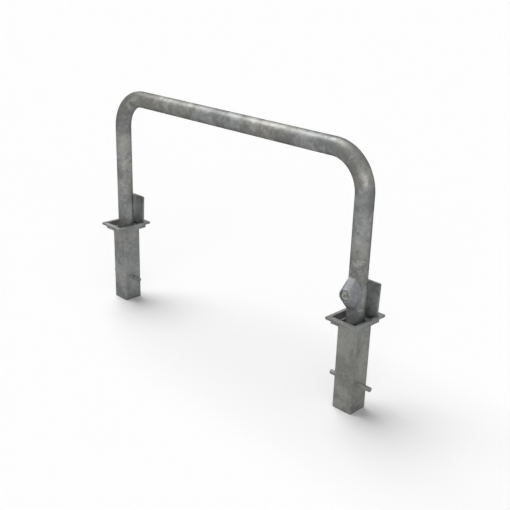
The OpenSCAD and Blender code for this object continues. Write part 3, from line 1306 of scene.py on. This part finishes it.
@dataclass
class KeeperBox(SubAssembly):
    """The pocket on the right socket that the hook turns into."""

    wall: float = 0.003
    corner: float = 0.002
    ease: float = 0.0005
    weld: WeldBead = WeldBead("keeper_weld", 0.0016, 41)
    weld_sunk: float = 0.0004

    def build(self) -> None:
        """Model the pocket and its weld."""
        low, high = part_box("keeper_box")
        pocket = block("keeper", low, high)
        round_corners(pocket, self.corner, lambda a, b: max(a.x, b.x) < low.x + HAIR, segments=4)
        combine(pocket, Joining.CUT, hook_slot(low.x + self.wall, high.x + OVERCUT))
        ease_edges(pocket, self.ease, segments=2)
        self.hand_over(pocket, "sockets", Slot.SOCKET, "keeper_box")
        corners = [(low.y, low.z), (high.y, low.z), (high.y, high.z), (low.y, high.z)]
        path = [Vector((high.x - self.weld_sunk, y, z)) for y, z in corners]
        self.hand_over(self.weld.lay(path), "sockets", Slot.SOCKET)


# The studio


@dataclass(frozen=True)
class Lamp:
    """A soft, far lamp: its strength, its width in degrees, and where it is, seen from the object."""

    name: str
    strength: float
    spread: float
    direction: Place

    def hang(self) -> None:
        """Put the lamp into the scene."""
        light = bpy.data.lights.new(self.name, "SUN")
        light.energy = self.strength
        light.angle = radians(self.spread)
        holder = bpy.data.objects.new(self.name, light)
        holder.rotation_euler = Vector(self.direction).to_track_quat("Z", "Y").to_euler()
        bpy.context.scene.collection.objects.link(holder)


@dataclass
class Studio:
    """Floor, soft light and the camera at the photograph's place."""

    floor_radius: float = 90
    sky: float = 0.2
    lamps: tuple[Lamp, ...] = (
        Lamp("left_lamp", 2.62, 44, (-0.5, 0, 1)),
        Lamp("right_lamp", 0.2, 40, (0.6, -0.12, 1)),
        Lamp("front_lamp", 1.28, 60, (0.7, -0.7, 0.12)),
    )
    target: Place = (0.1858, 0, 0.5012)
    distance: float = 3.5492
    azimuth: float = 44.657
    elevation: float = 20.872
    roll: float = 1.738
    lens: float = 57.702
    sensor: float = 36
    sight: float = 300

    def build(self) -> None:
        """Set up the whole studio."""
        self.lay_floor()
        self.light_sky()
        for lamp in self.lamps:
            lamp.hang()
        self.place_camera()
        bpy.context.scene.view_settings.view_transform = "Standard"

    def lay_floor(self) -> None:
        """Lay the floor under the sockets, out to where no view sees its edge."""
        put_down()
        bpy.ops.mesh.primitive_circle_add(vertices=64, radius=self.floor_radius, fill_type="NGON")
        floor = settle(bpy.context.object, "floor")
        floor.data.materials.append(StudioFloor().material())

    def light_sky(self) -> None:
        """Make the surroundings white for the camera and in reflections, and dimmer as a light."""
        bpy.context.scene.world = bpy.data.worlds.new("studio")
        sheet = NodeSheet(bpy.context.scene.world)
        strength = sheet.spread(sheet.direct_rays(), (0, 1), (self.sky, 1))
        for name, value in (("Color", (1, 1, 1)), ("Strength", strength)):
            sheet.fill(sheet.nodes["Background"].inputs[name], value)

    def place_camera(self) -> None:
        """Put the camera where the photograph was taken from."""
        azimuth, elevation, roll = (radians(a) for a in (self.azimuth, self.elevation, self.roll))
        level = cos(elevation)
        back = Vector((sin(azimuth) * level, -cos(azimuth) * level, sin(elevation)))
        turn = back.to_track_quat("Z", "Y").to_matrix() @ Matrix.Rotation(roll, 3, "Z")
        view = bpy.data.cameras.new("photo_camera")
        view.lens = self.lens
        view.sensor_width = self.sensor
        view.clip_end = self.sight
        camera = bpy.data.objects.new("photo_camera", view)
        bpy.context.scene.collection.objects.link(camera)
        place = Vector(self.target) + back * self.distance
        camera.matrix_world = Matrix.Translation(place) @ turn.to_4x4()
        bpy.context.scene.camera = camera


def main() -> None:
    """Set up the studio and build the barrier's sub-assemblies in it."""
    Studio().build()
    finishes = Finishes()
    parts: list[SubAssembly] = [HoopTube(finishes), LockHousing(finishes)]
    parts += [LockCylinder(finishes), Mechanism(finishes)]
    for side in Side:
        parts += [GroundSocket(finishes, side), Lid(finishes, side)]
    parts.append(KeeperBox(finishes))
    for part in parts:
        part.build()


if __name__ == "__main__":
    main()
